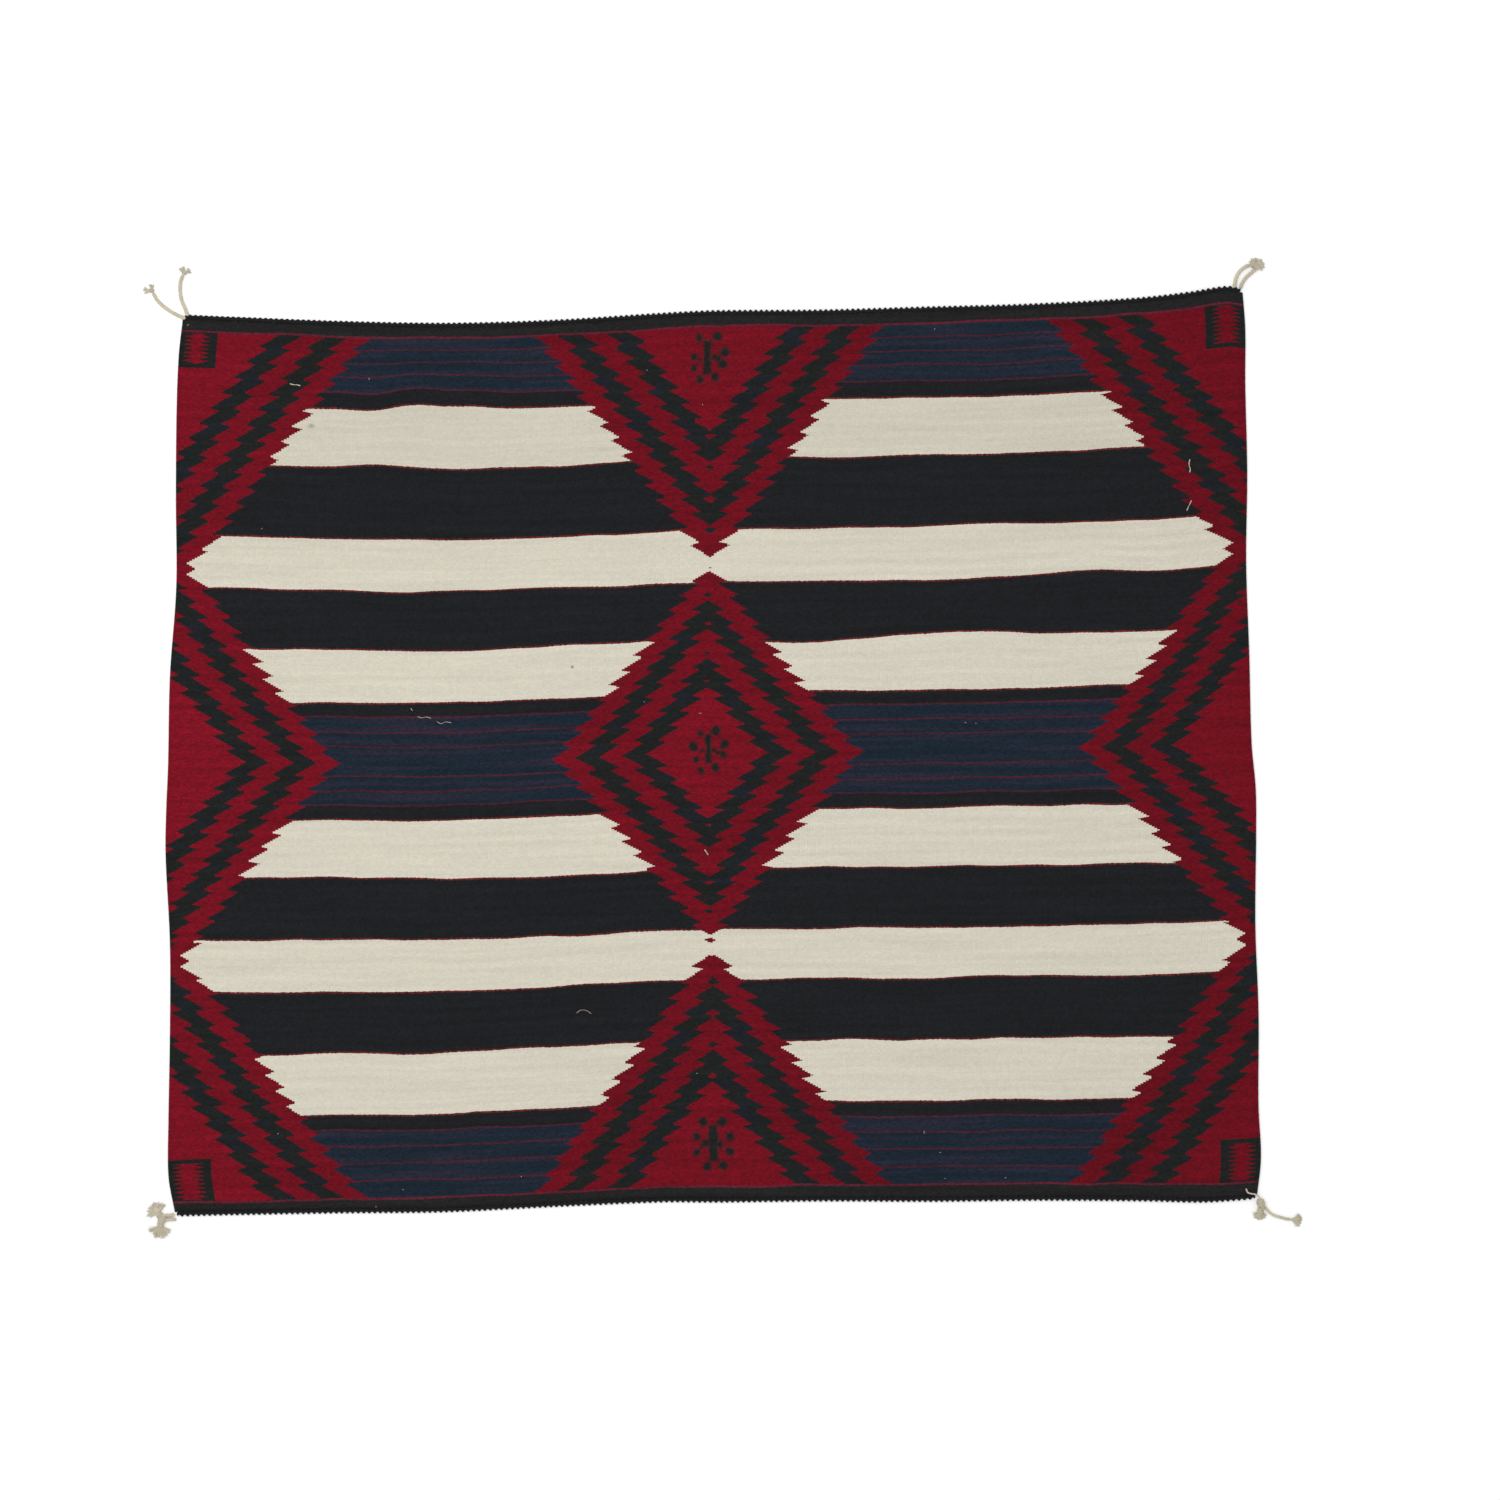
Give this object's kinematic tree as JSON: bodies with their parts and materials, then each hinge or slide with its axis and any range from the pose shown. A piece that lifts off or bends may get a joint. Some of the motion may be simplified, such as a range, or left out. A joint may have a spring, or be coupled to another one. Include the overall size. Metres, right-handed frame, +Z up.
{
  "type": "navajo rug",
  "caption": "Flat tapestry-woven wool floor rug with bands, serrated diamonds and knotted corner ties.",
  "frame": {"origin": "bottom centre of the box round the cloth, its end cords and the knots at its two bottom corners, on the floor", "axes": "+X along the rug's width to the right, +Y towards its top end, +Z up"},
  "size_m": [1.5521, 1.3144, 0.0086],
  "materials": {
    "woven_wool": "matt weft-faced wool, red, black, blue and natural white",
    "end_cord_wool": "matt black wool cord",
    "tie_yarn": "undyed wool yarn"
  },
  "bodies": {
    "root": {"woven_cloth": "woven_wool", "end_cord_top": "end_cord_wool", "end_cord_bottom": "end_cord_wool", "tie_top_left_a": "tie_yarn", "tie_top_left_b": "tie_yarn", "tie_top_right_a": "tie_yarn", "tie_top_right_b": "tie_yarn", "tie_bottom_right": "tie_yarn", "tuft_top_left_a": "tie_yarn", "tuft_top_left_b": "tie_yarn", "knot_top_right": "tie_yarn", "tuft_bottom_right": "tie_yarn", "knot_bottom_left": "tie_yarn", "knot_bottom_right": "tie_yarn"}
  },
  "joints": []
}
